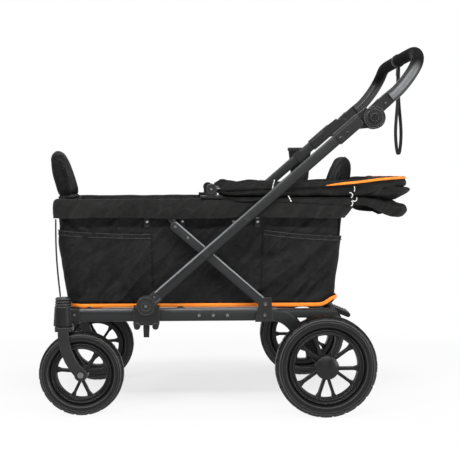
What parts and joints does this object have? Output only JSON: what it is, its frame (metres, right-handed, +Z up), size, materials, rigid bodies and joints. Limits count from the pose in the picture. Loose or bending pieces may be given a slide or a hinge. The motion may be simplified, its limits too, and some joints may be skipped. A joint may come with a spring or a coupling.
{
  "type": "stroller wagon",
  "caption": "Folding stroller wagon: fabric tub on a scissor frame, swivel front wheels, hinged push handle, facing seats and a fan canopy folded back.",
  "frame": {"origin": "on the ground, under the middle of the wagon", "axes": "+X to the rear and the push handle, -X to the swivel wheels, +Y to the right side, +Z up"},
  "size_m": [1.1352, 0.6792, 1.0961],
  "materials": {
    "rail_paint": "satin powder coat",
    "arm_paint": "satin powder coat",
    "black_plastic": "fine moulded grain",
    "gloss_plastic": "satin gloss",
    "wheel_plastic": "moulded",
    "tyre_rubber": "matt rubber",
    "steel": "zinc plated",
    "dark_steel": "black oxide",
    "rim_metal": "plain",
    "bow_metal": "anodised",
    "board": "fabric-covered board",
    "tub_fabric": "woven polyester",
    "pad_fabric": "padded melange",
    "canopy_fabric": "woven polyester",
    "webbing": "flat webbing",
    "grip_leather": "stitched leatherette",
    "cup_fabric": "woven pouch"
  },
  "bodies": {
    "base": {"left_rail": "rail_paint", "right_rail": "rail_paint", "cross_members": "rail_paint", "caster_housings": "black_plastic", "caster_bearings": "steel", "brace_brackets": "black_plastic", "rear_axle": "steel", "floor_board": "board", "tub": "tub_fabric", "front_seat": "pad_fabric", "rear_seat": "pad_fabric", "front_seat_back": "pad_fabric", "rear_seat_back": "pad_fabric", "corner_straps": "webbing", "frame_screws": "dark_steel"},
    "brake": {"brake_pedal": "black_plastic", "brake_bar": "steel"},
    "left_caster": {"left_fork": "black_plastic", "left_front_axle": "steel"},
    "right_caster": {"right_fork": "black_plastic", "right_front_axle": "steel"},
    "left_front_wheel": {"left_front_tyre": "tyre_rubber", "left_front_rim": "wheel_plastic"},
    "right_front_wheel": {"right_front_tyre": "tyre_rubber", "right_front_rim": "wheel_plastic"},
    "left_rear_wheel": {"left_rear_tyre": "tyre_rubber", "left_rear_rim": "wheel_plastic", "left_hub_cap": "gloss_plastic"},
    "right_rear_wheel": {"right_rear_tyre": "tyre_rubber", "right_rear_rim": "wheel_plastic", "right_hub_cap": "gloss_plastic"},
    "braces": {"brace_arms": "arm_paint"},
    "push_arms": {"left_push_tube": "arm_paint", "right_push_tube": "arm_paint", "knuckle_discs": "black_plastic", "handle_sleeves": "black_plastic", "cross_bolts": "dark_steel", "cup_holder": "cup_fabric"},
    "sliders": {"sliders": "black_plastic"},
    "levers": {"release_levers": "black_plastic"},
    "links": {"top_links": "dark_steel"},
    "top_frame": {"rim_side_tubes": "rim_metal", "rim_end_tubes": "rim_metal", "rim_cover": "tub_fabric", "arm_brackets": "dark_steel", "canopy_pivots": "black_plastic"},
    "handle": {"handlebar": "grip_leather", "hinge_shells": "black_plastic"},
    "left_button": {"left_button": "gloss_plastic"},
    "right_button": {"right_button": "gloss_plastic"},
    "bow_3": {"canopy_bow_3": "bow_metal", "canopy_fold_3": "canopy_fabric"},
    "bow_2": {"canopy_bow_2": "bow_metal", "canopy_fold_2": "canopy_fabric"},
    "bow_1": {"canopy_bow_1": "bow_metal", "canopy_fold_1": "canopy_fabric"},
    "front_headrest": {"front_headrest": "pad_fabric"},
    "rear_headrest": {"rear_headrest": "pad_fabric"},
    "strap": {"wrist_strap": "webbing"}
  },
  "joints": [
    {"name": "frame_fold", "type": "hinge", "parent": "base", "child": "braces", "pos_m": [0.105, 0, 0.33], "axis": [0, -1, 0], "range_deg": [0, 33], "deforming": ["tub", "front_seat_back", "rear_seat_back", "corner_straps"]},
    {"name": "arm_cross", "type": "hinge", "parent": "braces", "child": "push_arms", "pos_m": [-0.07009, 0, 0.48221], "axis": [0, 1, 0], "range_deg": [0, 66]},
    {"name": "slider_turn", "type": "hinge", "parent": "push_arms", "child": "sliders", "pos_m": [-0.24518, 0, 0.33], "axis": [0, -1, 0], "range_deg": [0, 33]},
    {"name": "rim_turn", "type": "hinge", "parent": "push_arms", "child": "top_frame", "pos_m": [0.04915, 0, 0.58586], "axis": [0, -1, 0], "range_deg": [0, 33]},
    {"name": "link_turn", "type": "hinge", "parent": "braces", "child": "links", "pos_m": [-0.15953, 0, 0.55995], "axis": [0, 1, 0], "range_deg": [0, 123]},
    {"name": "release_lever", "type": "hinge", "parent": "sliders", "child": "levers", "pos_m": [-0.24518, 0, 0.274], "axis": [0, 1, 0], "range_deg": [0, 18], "stiffness_Nm_per_rad": 0.6},
    {"name": "handle_tilt", "type": "hinge", "parent": "push_arms", "child": "handle", "pos_m": [0.41895, 0, 0.87685], "axis": [0, 1, 0], "range_deg": [0, 70]},
    {"name": "strap_swing", "type": "hinge", "parent": "handle", "child": "strap", "pos_m": [0.55221, 0, 1.07607], "axis": [0, 1, 0], "range_deg": [-70, 0]},
    {"name": "left_button_press", "type": "slide", "parent": "push_arms", "child": "left_button", "axis": [0, 1, 0], "range_m": [0, 0.0035], "stiffness_N_per_m": 400},
    {"name": "right_button_press", "type": "slide", "parent": "push_arms", "child": "right_button", "axis": [0, -1, 0], "range_m": [0, 0.0035], "stiffness_N_per_m": 400},
    {"name": "canopy_open", "type": "hinge", "parent": "top_frame", "child": "bow_3", "pos_m": [-0.054, 0, 0.66986], "axis": [0, -1, 0], "range_deg": [0, 40]},
    {"name": "canopy_middle", "type": "hinge", "parent": "bow_3", "child": "bow_2", "pos_m": [-0.054, 0, 0.66986], "axis": [0, -1, 0], "range_deg": [0, 40]},
    {"name": "canopy_front", "type": "hinge", "parent": "bow_2", "child": "bow_1", "pos_m": [-0.054, 0, 0.66986], "axis": [0, -1, 0], "range_deg": [0, 40]},
    {"name": "front_headrest_fold", "type": "hinge", "parent": "top_frame", "child": "front_headrest", "pos_m": [-0.499, 0, 0.64826], "axis": [0, 1, 0], "range_deg": [0, 58]},
    {"name": "rear_headrest_fold", "type": "hinge", "parent": "top_frame", "child": "rear_headrest", "pos_m": [0.347, 0, 0.64826], "axis": [0, -1, 0], "range_deg": [0, 58]},
    {"name": "brake_pedal", "type": "hinge", "parent": "base", "child": "brake", "pos_m": [0.333, 0, 0.286], "axis": [0, 1, 0], "range_deg": [0, 22]},
    {"name": "left_swivel", "type": "hinge", "parent": "base", "child": "left_caster", "pos_m": [-0.491, -0.243, 0.3], "axis": [0, 0, 1], "continuous": true},
    {"name": "right_swivel", "type": "hinge", "parent": "base", "child": "right_caster", "pos_m": [-0.491, 0.243, 0.3], "axis": [0, 0, 1], "continuous": true},
    {"name": "left_front_spin", "type": "hinge", "parent": "left_caster", "child": "left_front_wheel", "pos_m": [-0.438, -0.243, 0.125], "axis": [0, 1, 0], "continuous": true},
    {"name": "right_front_spin", "type": "hinge", "parent": "right_caster", "child": "right_front_wheel", "pos_m": [-0.438, 0.243, 0.125], "axis": [0, 1, 0], "continuous": true},
    {"name": "left_rear_spin", "type": "hinge", "parent": "base", "child": "left_rear_wheel", "pos_m": [0.282, -0.3, 0.15], "axis": [0, 1, 0], "continuous": true},
    {"name": "right_rear_spin", "type": "hinge", "parent": "base", "child": "right_rear_wheel", "pos_m": [0.282, 0.3, 0.15], "axis": [0, 1, 0], "continuous": true}
  ],
  "couplings": [
    {"joint": "arm_cross", "follows": "frame_fold", "ratio": 2},
    {"joint": "slider_turn", "follows": "frame_fold", "ratio": 1},
    {"joint": "rim_turn", "follows": "frame_fold", "ratio": 1},
    {"joint": "link_turn", "follows": "frame_fold", "ratio": 3.721},
    {"joint": "strap_swing", "follows": "handle_tilt", "ratio": -1},
    {"joint": "canopy_middle", "follows": "canopy_open", "ratio": 1},
    {"joint": "canopy_front", "follows": "canopy_open", "ratio": 1}
  ]
}
